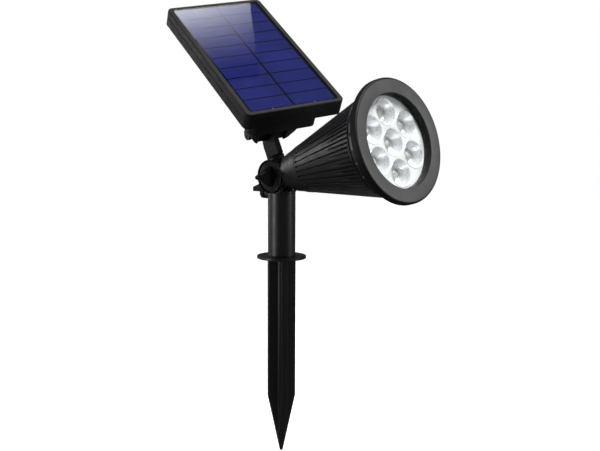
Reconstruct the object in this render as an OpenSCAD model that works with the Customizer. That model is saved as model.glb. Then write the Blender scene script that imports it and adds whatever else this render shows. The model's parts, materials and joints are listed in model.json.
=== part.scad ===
// Solar garden spotlight on a ground stake.
// Origin: ground level on the pole axis, at the underside of the stake's flange.
// +Z up. The lamp points to -Y, the tilt knob is on the -X side.

/* [Pole and stake] */
// Outer diameter of the pole
pole_d = 20; // [19:0.5:21]
// Height of the pole's top end above ground
pole_top = 48; // [48:1:80]
// Diameter of the flange that rests on the ground
flange_d = 35.8; // [32:0.2:44]
// Length of the stake below ground
stake_depth = 145; // [110:5:200]
// Thickness of one stake fin
fin_t = 4.8; // [4:0.2:5.4]

/* [Joints at rest] */
// Angle of the lamp above horizontal
lamp_tilt = 15.3; // [13:0.1:17]
// Backward lean of the panel arm from vertical
arm_lean = 25.6; // [24:0.1:27]
// Turn of the panel arm about its own axis
arm_swivel = -17.9; // [-25:0.1:-10]
// Tilt of the panel about its hinge, from square to the arm
panel_tilt = 59; // [50:0.5:60]

/* [Lamp] */
// Radius of the finned housing at the front end of its fins
cone_front_r = 36.4; // [35:0.2:37]
// Number of long cooling grooves, each with a short one beside it
fin_count = 36; // [24:4:40]
// Outer radius of the front ring
bezel_r = 42.2; // [41:0.2:44]
// Radius of the window in the front ring
window_r = 31.4; // [31:0.2:33]
// Radius of the circle that the six outer reflectors sit on
reflector_ring_r = 20.6; // [20.2:0.1:20.8]
// Radius of one reflector
reflector_r = 9.7; // [9:0.1:9.9]

/* [Panel] */
// Width of the solar panel
panel_w = 78; // [74.4:0.4:80]
// Length of the solar panel
panel_l = 137; // [135.5:0.5:146]
// Thickness of the panel's rim
panel_t = 12.6; // [12.2:0.2:15]
// Columns of solar cells
cell_columns = 2; // [1:1:4]
// Rows of solar cells
cell_rows = 10; // [4:1:12]

/* [Hidden] */
$fn = 64;
gap = 0.05;              // running fit on a radius
clear = 0.3;             // space between moving faces

// Pole and stake
pole_wall = 1.5;
pole_bore_r = pole_d / 2 - pole_wall;
flange_t = 2;
plug_r = pole_bore_r - gap;
plug_top = 20;
fin_r = 10.3;
fin_turn = 59;
fillet_r = 1.6;
taper_l = 42;
tip_r = 1;

// Hub and its two clamp screws
hub_z = 60;
cheek_in = 4.4;
cheek_out = 9.2;
cheek_r = 9.6;
hub_foot_y = 6;
hub_back_y = 8;
hub_plug_bottom = 24;
boss_z = 46.4;
boss_r = 4;
boss_y = 14;
swivel_screw_r = 2;
lever_hub_r = 4;
lever_l = 13.5;
lever_t = 3.6;
screw_r = 2.5;
nut_flats = 8;
nut_t = 4;
knob_r = 12;
knob_t = 2.6;
knob_rim = 0.75;
knob_dish = 0.9;
grip_l = 14;
grip_t = 3.6;
turret_r = 6.4;
turret_from = 10.2;
turret_top = 13.6;
grub_z = 11.9;
grub_r = 1.5;
spigot_r = 3;
spigot_from = 9.4;

// Lamp, measured along its axis from the tilt axis
neck_from = 12.4;
neck_r = 12.7;
cone_from = 31;
fins_from = 33;
fins_to = 101;
cone_rear_r = 18.4;
cone_slope = (cone_front_r - cone_rear_r) / (fins_to - cone_from);
cone_angle = atan(cone_slope);
groove_deep = 1.6;
groove_rear_w = 0.7;
groove_front_w = 1.3;
short_from = 74;
collar_r = 37.6;
collar_to = 107;
bezel_from = 107.2;
bezel_front = 112.5;
bezel_round = 2;
led_face = 106.6;
plate_t = 1.4;
cup_deep = 8;
board_face = 98.4;
board_t = 1.6;
knuckle_r = 8;
knuckle_t = 8;
drop = 36;
notch_r = 16;
notch_top = -7;

// Panel arm, measured along the arm from the tilt axis of the lamp
arm_len = 35;
arm_w = 19;
arm_t = 4.2;
eye_r = 6.5;
eye_l = 21;
hinge_r = 2.5;

// Panel, measured from its hinge axis: z along the face's normal
face_z = 41;
rim_z = face_z - panel_t;
tray_x = 1.6;
tray_y = 40.9;
shell = 2;
corner_r = 4;
split_z = 35;
bulge_w = 54;
bulge_l = 102;
bulge_y = 33;
bulge_z = 13;
ear_in = 10.8;
ear_t = 3.6;
ear_r = 8;
barrel_r = 18.8;
base_z = 10.5;
cover_w = 70;
cover_l = 130.6;
array_w = 66.9;
array_l = 127.6;
cell_gap = 0.9;
mid_gap = 1.3;
battery_r = 9.15;
battery_l = 65;
battery_x = -13;
battery_y = 44.5;
battery_door_y = 48;
battery_door_l = 60;
battery_z = 25.4;
button_x = 14;
button_y = 52;
button_proud = 1.6;
board_z = 22;
board_pcb_t = 1.6;

plastic = "#2b2b2b";
metal = "silver";

// ---- frames of the moving bodies -------------------------------------------------

module lamp_frame() {
  translate([0, 0, hub_z]) rotate([90 - lamp_tilt, 0, 0]) children();
}

module lean_frame() {
  translate([0, 0, hub_z]) rotate([-arm_lean, 0, 0]) children();
}

module arm_frame() {
  lean_frame() rotate([0, 0, arm_swivel]) children();
}

module panel_frame_at() {
  arm_frame() translate([0, 0, arm_len]) rotate([panel_tilt, 0, 0]) children();
}

// The housing sits a little to one side of its bracket
module tray_frame() {
  panel_frame_at() translate([tray_x, 0, 0]) children();
}

// ---- shapes that repeat ----------------------------------------------------------

// Flat outline with round corners, centred
module round_rect(w, l, r) {
  square([w - 2 * r, l], center = true);
  square([w, l - 2 * r], center = true);
  for (x = [-1, 1], y = [-1, 1]) translate([x * (w / 2 - r), y * (l / 2 - r)]) circle(r);
}

module slab(w, l, h, r) {
  linear_extrude(h) round_rect(w, l, r);
}

// Hexagonal nut on the Z axis
module nut(flats, h, bore_r) {
  difference() {
    cylinder(r = flats / sqrt(3), h = h, $fn = 6);
    translate([0, 0, -1]) cylinder(r = bore_r, h = h + 2);
  }
}

// Screw with a flat head at z = 0, its shank along +Z
module screw(r, l, head_r, head_t) {
  difference() {
    union() {
      translate([0, 0, -head_t]) cylinder(r = head_r, h = head_t, $fn = 32);
      cylinder(r = r, h = l, $fn = 32);
    }
    for (a = [0, 90]) translate([0, 0, -head_t]) rotate([0, 0, a])
      cube([head_r * 1.2, head_r * 0.25, head_t], center = true);
  }
}

// ---- stake and pole --------------------------------------------------------------

// Section of the blade: four fins with hollow fillets between them
module stake_section() {
  corner = fin_t / 2 + fillet_r;
  for (a = [0, 90]) rotate(fin_turn + a) square([2 * fin_r + 2, fin_t], center = true);
  rotate(fin_turn) difference() {
    square(2 * corner, center = true);
    for (x = [-corner, corner], y = [-corner, corner]) translate([x, y]) circle(fillet_r);
  }
}

module ground_stake() color(plastic) {
  blade_to = -(stake_depth - taper_l);
  difference() {
    union() {
      cylinder(d = flange_d, h = flange_t);
      cylinder(r = plug_r, h = plug_top);
      intersection() {
        translate([0, 0, -stake_depth]) linear_extrude(stake_depth + 1) stake_section();
        rotate_extrude() polygon([
          [0, 1], [fin_r, 1], [fin_r, blade_to], [tip_r, -stake_depth], [0, -stake_depth]]);
      }
    }
    translate([0, 0, flange_t]) cylinder(r = plug_r - 2, h = plug_top);
  }
}

module pole() color(plastic) translate([0, 0, flange_t]) difference() {
  cylinder(d = pole_d, h = pole_top - flange_t);
  translate([0, 0, -1]) cylinder(r = pole_bore_r, h = pole_top);
}

// ---- hub: plugs into the pole, holds the lamp's knuckle and the arm's turret --------

// Side view of one cheek about the tilt axis: a foot on the pole and a neck up to the arm's turret
module hub_cheek() {
  circle(r = cheek_r);
  translate([-hub_foot_y, pole_top + 0.2 - hub_z]) square([hub_foot_y + hub_back_y, hub_z - pole_top]);
  rotate(-arm_lean) translate([-5.5, 0]) square([12, turret_from + 1.8]);
}

module hub() color(plastic) {
  difference() {
    union() {
      translate([0, 0, hub_plug_bottom]) cylinder(r = plug_r, h = pole_top - hub_plug_bottom);
      translate([0, 0, pole_top]) cylinder(d = pole_d, h = 1.4);
      for (x = [-cheek_out, cheek_in])
        translate([x, 0, hub_z]) rotate([90, 0, 90]) linear_extrude(cheek_out - cheek_in) hub_cheek();
      translate([-cheek_in - 1, 0, pole_top + 0.2]) cube([2 * cheek_in + 2, hub_back_y - 0.2, 2.4]);
      translate([0, 0, boss_z]) rotate([-90, 0, 0]) cylinder(r = boss_r, h = boss_y);
      translate([-boss_r + 0.4, 0, boss_z]) cube([2 * boss_r - 0.8, boss_y, pole_top + 1.4 - boss_z]);
      lean_frame() {
        translate([0, 0, turret_from]) cylinder(r = turret_r, h = turret_top - turret_from);
        translate([-cheek_in - 1, -5.3, turret_from - 1.4]) cube([2 * cheek_in + 2, 11.6, 3]);
      }
    }
    // Room for the pole's wall between the plug and the screw boss
    difference() {
      translate([0, 0, hub_plug_bottom - 1])
        cylinder(r = pole_d / 2 + gap, h = pole_top - hub_plug_bottom + 1);
      translate([0, 0, hub_plug_bottom - 1]) cylinder(r = plug_r, h = pole_top - hub_plug_bottom + 1);
    }
    translate([0, 0, boss_z]) rotate([-90, 0, 0]) {
      translate([0, 0, pole_d / 2 - 1]) cylinder(r = swivel_screw_r + gap, h = boss_y);
      translate([0, 0, boss_y - 3]) cylinder(r = 3.2, h = 4);
    }
    translate([0, 0, hub_z]) rotate([0, 90, 0]) {
      cylinder(r = screw_r + gap, h = 40, center = true);
      cylinder(r = knuckle_r + clear, h = 2 * cheek_in, center = true);
    }
    translate([cheek_out - nut_t + 0.2, 0, hub_z]) rotate([0, 90, 0])
      cylinder(r = nut_flats / sqrt(3) + 0.05, h = 8, $fn = 6);
    lean_frame() {
      cylinder(r = spigot_r + gap, h = 40);
      translate([0, 0, grub_z]) rotate([-90, 0, 0]) cylinder(r = grub_r, h = 20);
    }
    translate([0, 0, hub_plug_bottom - 1]) cylinder(r = plug_r - 2.4, h = 14);
  }
}

module swivel_nut() color("goldenrod")
  translate([0, boss_y - 3, boss_z]) rotate([-90, 0, 0]) difference() {
    cylinder(r = 3.2, h = 2.9);
    translate([0, 0, -1]) cylinder(r = swivel_screw_r + gap, h = 6);
  }

module tilt_nut() color(metal)
  translate([cheek_out - nut_t + 0.2, 0, hub_z]) rotate([0, 90, 0]) nut(nut_flats, nut_t, screw_r + gap);

module friction_washers() color("#444444")
  for (side = [-1, 1]) translate([side > 0 ? knuckle_t / 2 : -cheek_in, 0, hub_z])
    rotate([0, 90, 0]) difference() {
      cylinder(r = 6.5, h = cheek_in - knuckle_t / 2);
      translate([0, 0, -1]) cylinder(r = screw_r + gap, h = 3);
    }

module arm_grub_screw() color(metal)
  lean_frame() translate([0, spigot_r + 0.2, grub_z]) rotate([-90, 0, 0]) difference() {
    cylinder(r = grub_r, h = 3.1, $fn = 24);
    translate([0, 0, 1.8]) cylinder(r = 0.8, h = 3, $fn = 6);
  }

// ---- clamp knobs -----------------------------------------------------------------

// Dished disc with a raised rim and a triangular grip across it
module tilt_knob() color(plastic) translate([-cheek_out - 1.2, 0, hub_z]) rotate([0, -90, 0]) {
  difference() {
    union() {
      cylinder(r = knob_r, h = knob_t);
      translate([0, 0, -0.6]) cylinder(r = 2 * screw_r, h = 1);
    }
    translate([0, 0, knob_dish]) cylinder(r = knob_r - knob_rim, h = knob_t);
    translate([0, 0, -1]) cylinder(r = screw_r, h = 1.6);
  }
  translate([0, 0, knob_dish - 0.1]) rotate([90, 0, 0]) linear_extrude(grip_t, center = true)
    polygon([[-0.62 * knob_r, 0], [0.62 * knob_r, 0], [1.2, grip_l], [-1.2, grip_l]]);
}

module tilt_screw() color(metal)
  translate([-cheek_out - 1.8, 0, hub_z]) rotate([0, 90, 0])
    cylinder(r = screw_r, h = 2 * cheek_out + 2.6);

// Lever on the rear clamp screw: a small hub with a blade that rises from it
module swivel_knob() color(plastic) translate([0, boss_y + 1.2, boss_z]) rotate([-90, 90, 0]) {
  difference() {
    cylinder(r = lever_hub_r, h = 4);
    translate([0, 0, -1]) cylinder(r = swivel_screw_r, h = 3);
  }
  translate([0, 0, 1.4]) rotate([90, 0, 0]) linear_extrude(lever_t, center = true)
    polygon([[-8.6, 0], [-0.8, 0], [-0.6, lever_l - 1.4], [-3.8, lever_l - 1.4]]);
}

module swivel_screw() color(metal)
  translate([0, pole_d / 2 + clear, boss_z]) rotate([-90, 0, 0])
    cylinder(r = swivel_screw_r, h = boss_y + 2.2 - pole_d / 2 - clear);

// ---- lamp ------------------------------------------------------------------------

// Wedge that cuts one groove, from s along the lamp's axis to the front end of the fins
module groove(s) {
  rear_w = groove_rear_w + (groove_front_w - groove_rear_w) * (s - fins_from) / (fins_to - fins_from);
  translate([cone_rear_r + (s - cone_from) * cone_slope - groove_deep, 0, s]) rotate([0, cone_angle, 0])
    rotate([0, 90, 0]) rotate([0, 0, 90]) linear_extrude(5)
      polygon([[-rear_w / 2, 0], [rear_w / 2, 0],
               [groove_front_w / 2, fins_to - s + 1], [-groove_front_w / 2, fins_to - s + 1]]);
}

module lamp_housing() color(plastic) lamp_frame() {
  wall = 4;
  difference() {
    union() {
      rotate_extrude() polygon([
        [0, neck_from], [neck_r, neck_from], [neck_r + 0.7, neck_from + 0.7], [14.5, 16], [15.7, 21],
        [17.2, 26], [cone_rear_r, cone_from], [cone_front_r, fins_to], [collar_r, fins_to],
        [collar_r, collar_to], [0, collar_to]]);
      rotate([0, 90, 0]) cylinder(r = knuckle_r, h = knuckle_t, center = true);
      translate([-knuckle_t / 2, -knuckle_r, 0]) cube([knuckle_t, 2 * knuckle_r, neck_from + 1]);
    }
    rotate_extrude() polygon([
      [0, 34], [10, 34], [cone_front_r - wall - 1, 96.6], [window_r + 1, 96.6], [window_r + 1, collar_to + 1],
      [0, collar_to + 1]]);
    for (i = [0 : fin_count - 1]) {
      rotate([0, 0, i * 360 / fin_count]) groove(fins_from);
      rotate([0, 0, (i + 0.5) * 360 / fin_count]) groove(short_from);
    }
    rotate([0, 90, 0]) cylinder(r = screw_r + gap, h = 20, center = true);
    // Relief under the neck, so that the lamp can swing down past the pole's rim
    rotate([-(90 - lamp_tilt + drop), 0, 0]) translate([-pole_d / 2 - clear, -pole_d / 2 - clear, -60])
      cube([pole_d + 2 * clear, pole_d, 60 - (hub_z - pole_top) + clear]);
    intersection() {
      rotate([0, 90, 0]) cylinder(r = notch_r, h = pole_d + 2 * clear, center = true);
      translate([-pole_d, notch_top - notch_r, 0]) cube([2 * pole_d, notch_r, notch_r]);
    }
    translate([12, 0, 24]) rotate([0, 90, 0]) cylinder(r = 2.6, h = 10);
    translate([8, 0, 24]) cylinder(r = 2, h = 12);
    for (a = [90, 210, 330]) rotate([0, 0, a]) translate([28.6, 0, 86]) cylinder(r = 1, h = 14, $fn = 24);
  }
}

module bezel_ring() color("#6f6f6f") lamp_frame() difference() {
  rotate_extrude() polygon([
    [window_r, bezel_from], [bezel_r - 0.6, bezel_from], [bezel_r, bezel_from + 0.6],
    [bezel_r, bezel_front - bezel_round], [bezel_r - 0.5, bezel_front - 0.6],
    [bezel_r - bezel_round, bezel_front], [window_r, bezel_front]]);
  for (i = [0 : 5]) rotate([0, 0, 30 + i * 60]) translate([35, 0, bezel_from - 1])
    cylinder(r = 1.2 + gap, h = 3.2, $fn = 24);
}

module bezel_pins() color("#3a3a3a") lamp_frame()
  for (i = [0 : 5]) rotate([0, 0, 30 + i * 60]) translate([35, 0, collar_to])
    cylinder(r = 1.2, h = 2.2, $fn = 24);

module front_lens() color("#dfe8ee", 0.35) lamp_frame()
  translate([0, 0, led_face + 0.6]) cylinder(r = window_r - 0.1, h = 1.6);

module lamp_gasket() color("#1c1c1c") lamp_frame()
  rotate_extrude() translate([window_r + 0.5, led_face - 1.1]) square([0.4, 1.4]);

module reflector_plate() color("white") lamp_frame() translate([0, 0, led_face - plate_t]) difference() {
  cylinder(r = window_r - 0.1, h = plate_t);
  reflector_places() translate([0, 0, -1]) cylinder(r = reflector_r, h = plate_t + 2);
}

// The seven reflector positions: one in the middle and six around it
module reflector_places() {
  children();
  for (i = [0 : 5]) rotate([0, 0, 90 + 4.5 + i * 60]) translate([reflector_ring_r, 0, 0]) children();
}

module reflector_cups() color("#c8ccd0") lamp_frame() translate([0, 0, board_face])
  reflector_places() rotate_extrude() polygon([
    [3.2, 0], [4, 0], [reflector_r - 0.05, cup_deep], [reflector_r - 0.8, cup_deep]]);

module led_emitters() color("#f3e9a8") lamp_frame() translate([0, 0, board_face])
  reflector_places() {
    translate([-1.75, -1.75, 0]) cube([3.5, 3.5, 0.9]);
    translate([0, 0, 0.9]) cylinder(r = 1.3, h = 0.8, $fn = 32);
  }

module led_board() color("#e6e6e6") lamp_frame() translate([0, 0, board_face - board_t]) difference() {
  cylinder(r = 31.4, h = board_t);
  for (a = [90, 210, 330]) rotate([0, 0, a]) translate([28.6, 0, -1]) cylinder(r = 1, h = 4, $fn = 24);
}

module led_board_screws() color(metal) lamp_frame()
  for (a = [90, 210, 330]) rotate([0, 0, a]) translate([28.6, 0, board_face])
    rotate([180, 0, 0]) screw(0.95, 8, 1.7, 1);

module lamp_cable_gland() color("#1c1c1c") lamp_frame()
  translate([12.6, 0, 24]) rotate([0, 90, 0]) difference() {
    union() {
      cylinder(r = 2.55, h = 4);
      translate([0, 0, 5.6]) cylinder(r1 = 3.6, r2 = 2.6, h = 3.4);
      cylinder(r = 2.5, h = 7);
    }
    translate([0, 0, -1]) cylinder(r = 1.4, h = 12, $fn = 32);
  }

// ---- panel arm -------------------------------------------------------------------

module panel_arm() color(plastic) arm_frame() difference() {
  union() {
    translate([0, 0, spigot_from]) cylinder(r = spigot_r, h = turret_top + 1 - spigot_from);
    translate([0, 0, turret_top + 0.2]) cylinder(r = turret_r, h = 1.4);
    translate([0, 0, arm_len]) rotate([0, 90, 0]) translate([0, 0, -arm_t / 2]) linear_extrude(arm_t)
      polygon([
        [0, eye_r], [8.6, arm_w / 2], [arm_len - turret_top - 0.6, arm_w / 2],
        [arm_len - turret_top - 0.6, -arm_w / 2], [8.6, -arm_w / 2], [0, -eye_r]]);
    translate([0, 0, arm_len]) rotate([0, 90, 0]) cylinder(r = eye_r, h = eye_l, center = true);
  }
  translate([0, 0, arm_len]) rotate([0, 90, 0]) cylinder(r = hinge_r + gap, h = 40, center = true);
}

// ---- panel -----------------------------------------------------------------------

// Base plate with two ears whose outer faces lie on one round barrel across the hinge
module panel_bracket() color(plastic) panel_frame_at() difference() {
  union() {
    translate([0, 0, base_z]) slab(40, 30, bulge_z - base_z, 4);
    difference() {
      intersection() {
        rotate([90, 0, 90]) linear_extrude(2 * barrel_r, center = true) {
          circle(ear_r);
          polygon([[-ear_r, 0], [ear_r, 0], [12, base_z + 0.5], [-12, base_z + 0.5]]);
        }
        translate([0, 0, base_z]) rotate([90, 0, 0]) cylinder(r = barrel_r, h = 40, center = true);
      }
      translate([-ear_in, -20, -20]) cube([2 * ear_in, 40, base_z + 20.2]);
    }
  }
  rotate([0, 90, 0]) cylinder(r = hinge_r + gap, h = 60, center = true);
  for (x = [-ear_in - ear_t - 10, ear_in + ear_t]) translate([x, 0, 0]) rotate([0, 90, 0])
    cylinder(r = 4.9, h = 10);
  bracket_holes() translate([0, 0, base_z - 1]) cylinder(r = 1.5, h = 6, $fn = 24);
}

module bracket_holes() {
  for (x = [-7.4, 7.4], y = [-11, 11]) translate([x, y, 0]) children();
}

module bracket_screws() color(metal) panel_frame_at()
  bracket_holes() translate([0, 0, base_z]) screw(1.45, 4.6, 2.2, 1.2);

module hinge_bolt() color(metal) panel_frame_at() rotate([0, 90, 0]) {
  translate([0, 0, -ear_in - ear_t - 2.6]) cylinder(r = 4.2, h = 2.6);
  translate([0, 0, -ear_in - ear_t]) cylinder(r = hinge_r, h = 2 * (ear_in + ear_t) + 3.4);
}

module hinge_nut() color(metal) panel_frame_at()
  translate([ear_in + ear_t, 0, 0]) rotate([0, 90, 0]) nut(8, 3, hinge_r + 0.02);

module panel_tray() color(plastic) tray_frame() difference() {
  union() {
    translate([0, tray_y, rim_z]) slab(panel_w, panel_l, split_z - rim_z, corner_r);
    translate([0, bulge_y, bulge_z]) slab(bulge_w, bulge_l, rim_z - bulge_z + 1, 5);
  }
  difference() {
    union() {
      translate([0, tray_y, rim_z + shell])
        slab(panel_w - 2 * shell, panel_l - 2 * shell, panel_t, corner_r - shell);
      translate([0, bulge_y, bulge_z + shell])
        slab(bulge_w - 2 * shell, bulge_l - 2 * shell, panel_t + 10, 3);
    }
    tray_screw_places() translate([0, 0, bulge_z]) cylinder(r = 3, h = split_z - bulge_z);
    board_screw_places() translate([0, 0, bulge_z]) cylinder(r = 2.6, h = board_z - bulge_z);
  }
  board_screw_places() translate([0, 0, board_z - 4]) cylinder(r = 1.05, h = 6, $fn = 24);
  tray_screw_places() {
    translate([0, 0, rim_z - 1]) cylinder(r = 1.5, h = 20, $fn = 24);
    translate([0, 0, rim_z - 1]) cylinder(r = 2.4, h = 2.4, $fn = 24);
  }
  translate([-tray_x, 0, bulge_z - 1]) bracket_holes() cylinder(r = 1.5, h = 6, $fn = 24);
  translate([battery_x, battery_door_y, bulge_z - 1]) slab(22, battery_door_l, 4, 2);
  translate([button_x, button_y, bulge_z - 1]) cylinder(r = 5.5, h = 5);
  translate([10, bulge_y + bulge_l / 2 - 4, 20]) rotate([-90, 0, 0]) cylinder(r = 2.6, h = 8);
}

module tray_screw_places() {
  for (x = [-1, 1], y = [-1, 0.35, 1])
    translate([x * (panel_w / 2 - 4), tray_y + y * (panel_l / 2 - 6), 0]) children();
}

module tray_screws() color(metal) tray_frame()
  tray_screw_places() translate([0, 0, rim_z + 1.4]) screw(1.45, split_z + 1.4 - rim_z, 2.3, 1.2);

module panel_frame() color(plastic) tray_frame() translate([0, tray_y, 0]) difference() {
  translate([0, 0, split_z + 0.6]) slab(panel_w, panel_l, face_z - split_z - 0.6, corner_r);
  translate([0, 0, 38.4]) slab(cover_w + 0.4, cover_l + 0.4, 5, 2);
  translate([0, 0, split_z - 1]) slab(64, 127, 8, 3);
  translate([0, -tray_y, 0]) tray_screw_places() translate([0, 0, split_z])
    cylinder(r = 1.5, h = 3.2, $fn = 24);
}

module panel_gasket() color("#1c1c1c") tray_frame() translate([0, tray_y, split_z]) difference() {
  slab(panel_w - 0.6, panel_l - 0.6, 0.6, corner_r - 0.3);
  translate([0, 0, -1]) slab(panel_w - 3.4, panel_l - 3.4, 3, corner_r - 1.7);
}

module solar_backboard() color("#20242c") tray_frame()
  translate([0, tray_y, 38.4]) slab(cover_w, cover_l, 1.3, 1.8);

// Places one child at each solar cell
module cell_places() {
  pitch_x = (array_w + mid_gap) / cell_columns;
  pitch_y = (array_l + cell_gap) / cell_rows;
  for (i = [0 : cell_columns - 1], j = [0 : cell_rows - 1])
    translate([(i - (cell_columns - 1) / 2) * pitch_x, tray_y + (j - (cell_rows - 1) / 2) * pitch_y, 39.7])
      children();
}

module solar_cells() color("#22277a") tray_frame() cell_places() {
  w = (array_w + mid_gap) / cell_columns - mid_gap;
  l = (array_l + cell_gap) / cell_rows - cell_gap;
  translate([-w / 2, -l / 2, 0]) cube([w, l, 0.3]);
}

module solar_ribbons() color(metal) tray_frame()
  for (x = [-array_w / 4, array_w / 4]) translate([x - 0.6, tray_y - array_l / 2 - 1.2, 39.7])
    cube([1.2, 1, 0.2]);

module solar_cover() color("#e6eef5", 0.3) tray_frame()
  translate([0, tray_y, 40]) slab(cover_w, cover_l, 0.7, 1.8);

module battery_holder() color("#303030") tray_frame()
  translate([battery_x, battery_y, bulge_z + 2.4]) difference() {
    translate([-10.9, -battery_l / 2 - 3.4, 0]) cube([21.8, battery_l + 6.8, 10]);
    translate([-9.4, -battery_l / 2 - 2.4, 0.8]) cube([18.8, battery_l + 4.8, 12]);
  }

module battery_cell() color("#3a7d5a") tray_frame()
  translate([battery_x, battery_y - battery_l / 2, battery_z]) rotate([-90, 0, 0]) {
    cylinder(r = battery_r, h = battery_l - 1);
    cylinder(r = 3, h = battery_l);
  }

module battery_springs() color(metal) tray_frame()
  for (side = [-1, 1]) translate([battery_x, battery_y + side * (battery_l / 2 + 1.2), battery_z - 2])
    cube([7, 2.3, 6], center = true);

module battery_cover() color(plastic) tray_frame()
  difference() {
    translate([battery_x, battery_door_y, bulge_z]) slab(21.6, battery_door_l - 0.4, shell, 1.8);
    battery_screw_places() translate([0, 0, bulge_z - 1]) cylinder(r = 1.2, h = 5, $fn = 24);
  }

module battery_screw_places() {
  for (y = [-1, 1]) translate([battery_x, battery_door_y + y * (battery_door_l / 2 - 3), 0]) children();
}

module battery_cover_screws() color(metal) tray_frame()
  battery_screw_places() translate([0, 0, bulge_z]) screw(1.1, 2.3, 2, 1);

module control_board() color("#1f6b3a") tray_frame() {
  difference() {
    translate([2, -12, board_z]) cube([22, 72, board_pcb_t]);
    board_screw_places() translate([0, 0, board_z - 1]) cylinder(r = 1.1, h = 4, $fn = 24);
  }
  translate([button_x - 3, button_y - 3, bulge_z + shell + 3.4])
    cube([6, 6, board_z - bulge_z - shell - 3.4]);
}

module board_screw_places() {
  for (y = [-8, 36]) translate([13, y, 0]) children();
}

module control_board_screws() color(metal) tray_frame()
  board_screw_places() translate([0, 0, board_z + board_pcb_t]) rotate([180, 0, 0]) screw(1.04, 4, 1.9, 1);

module power_button() color("#3a3a3a") tray_frame()
  translate([button_x, button_y, 0]) {
    translate([0, 0, bulge_z - button_proud]) cylinder(r = 4, h = button_proud + shell + 0.5);
    translate([0, 0, bulge_z + shell]) cylinder(r = 5, h = 1);
    translate([0, 0, bulge_z + shell]) cylinder(r = 1.6, h = 2.1);
  }

module button_seal() color("#1c1c1c") tray_frame()
  translate([button_x, button_y, bulge_z]) difference() {
    cylinder(r = 5.5, h = shell);
    translate([0, 0, -1]) cylinder(r = 4 + gap, h = 4);
  }

module panel_cable_gland() color("#1c1c1c") tray_frame()
  translate([10, bulge_y + bulge_l / 2 - 2, 20]) rotate([-90, 0, 0]) difference() {
    union() {
      cylinder(r = 2.55, h = 4);
      translate([0, 0, 2]) cylinder(r1 = 4, r2 = 2.8, h = 5);
    }
    translate([0, 0, -1]) cylinder(r = 1.4, h = 12, $fn = 32);
  }

ground_stake();
pole();
hub();
swivel_nut();
tilt_nut();
friction_washers();
arm_grub_screw();
tilt_knob();
tilt_screw();
swivel_knob();
swivel_screw();
lamp_housing();
bezel_ring();
bezel_pins();
front_lens();
lamp_gasket();
reflector_plate();
reflector_cups();
led_emitters();
led_board();
led_board_screws();
lamp_cable_gland();
panel_arm();
panel_bracket();
bracket_screws();
hinge_bolt();
hinge_nut();
panel_tray();
panel_frame();
panel_gasket();
solar_backboard();
solar_cells();
solar_ribbons();
solar_cover();
tray_screws();
battery_holder();
battery_cell();
battery_springs();
battery_cover();
battery_cover_screws();
control_board();
control_board_screws();
power_button();
button_seal();
panel_cable_gland();
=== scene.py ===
"""Looks of a solar garden spotlight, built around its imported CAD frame.

Shapes are made in millimetres in the frame of the body they ride on, and placed in metres.
"""
import json
import math

import bmesh
import bpy
from mathutils import Matrix, Vector

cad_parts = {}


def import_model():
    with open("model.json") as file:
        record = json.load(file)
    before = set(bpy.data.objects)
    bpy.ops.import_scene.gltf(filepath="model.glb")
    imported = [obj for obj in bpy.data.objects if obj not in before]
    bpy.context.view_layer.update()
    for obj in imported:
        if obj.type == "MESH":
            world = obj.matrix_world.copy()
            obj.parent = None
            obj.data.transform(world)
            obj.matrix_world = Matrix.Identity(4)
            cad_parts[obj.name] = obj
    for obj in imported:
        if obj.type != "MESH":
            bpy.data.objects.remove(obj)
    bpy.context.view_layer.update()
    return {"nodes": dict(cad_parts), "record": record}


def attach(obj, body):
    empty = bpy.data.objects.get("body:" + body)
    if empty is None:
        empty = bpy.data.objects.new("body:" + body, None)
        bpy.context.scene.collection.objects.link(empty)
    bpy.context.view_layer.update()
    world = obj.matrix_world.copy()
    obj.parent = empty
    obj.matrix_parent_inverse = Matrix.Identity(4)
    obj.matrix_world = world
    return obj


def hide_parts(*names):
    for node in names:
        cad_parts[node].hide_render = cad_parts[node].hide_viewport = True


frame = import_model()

NODES = frame["nodes"]
MM = 0.001

# ---- rest pose and sizes of the design, in millimetres and degrees -----------------------

HUB_Z = 60
POLE_R = 10
POLE_TOP = 48
CHEEK_OUT = 9.2
BOSS_Y = 14
BOSS_Z = 46.4
KNOB_STANDOFF = 1.2
GRIP_HALF = 1.8
GRIP_CHAMFER = 0.35
LAMP_TILT = 15.3
ARM_LEAN = 25.6
ARM_SWIVEL = -17.9
ARM_LEN = 35
PANEL_TILT = 59
TRAY_X = 1.6
TRAY_Y = 40.9
PANEL_W = 78
PANEL_L = 137
COVER_W = 70
COVER_L = 130.6
FACE_Z = 41
SPLIT_Z = 35.6
COVER_SEAT_Z = 38.4
COVER_FOOT_Z = 40.1
COVER_TOP_Z = 40.7
FLOOR_Z = -146

# Lamp, measured along its axis from the tilt axis
NECK_FROM = 12.4
NECK_R = 12.7
NECK_TO = 31
FINS_FROM = 33
FINS_TO = 98.6
CONE_REAR = (31, 18.4)
CONE_FRONT = (101, 36.4)
FIN_PAIRS = 36
SHORT_GROOVE_FROM = 74
SHORT_GROOVE_RAMP = 14
LONG_GROOVE_RAMP = 0.6
GROOVE_DEPTH = 1.1
LIP_FROM = 98.75
LIP_TO = 100
WAIST_R = 34.8
COLLAR_R = 37.6
COLLAR_FROM = 101.5
COLLAR_TO = 107
COLLAR_EDGE = 0.5
TABS_FROM = 102.9
TABS_TO = 105.4
CAVITY_R = 32.4
CAVITY_FROM = 96.6
BEZEL_FROM = 107.2
BEZEL_FRONT = 112.5
BEZEL_R = 42.2
WINDOW_R = 31.4
REFLECTOR_RING_R = 20.6
REFLECTOR_R = 9.65
REFLECTOR_TURN = 94.5
KNUCKLE_R = 8
KNUCKLE_T = 8
SCREW_BORE_R = 2.55
NOTCH_R = 16
NOTCH_TOP = -7
DROP = 36
BOARD_FACE = 98.4


def turn(axis, degrees):
    return Matrix.Rotation(math.radians(degrees), 4, axis)


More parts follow.
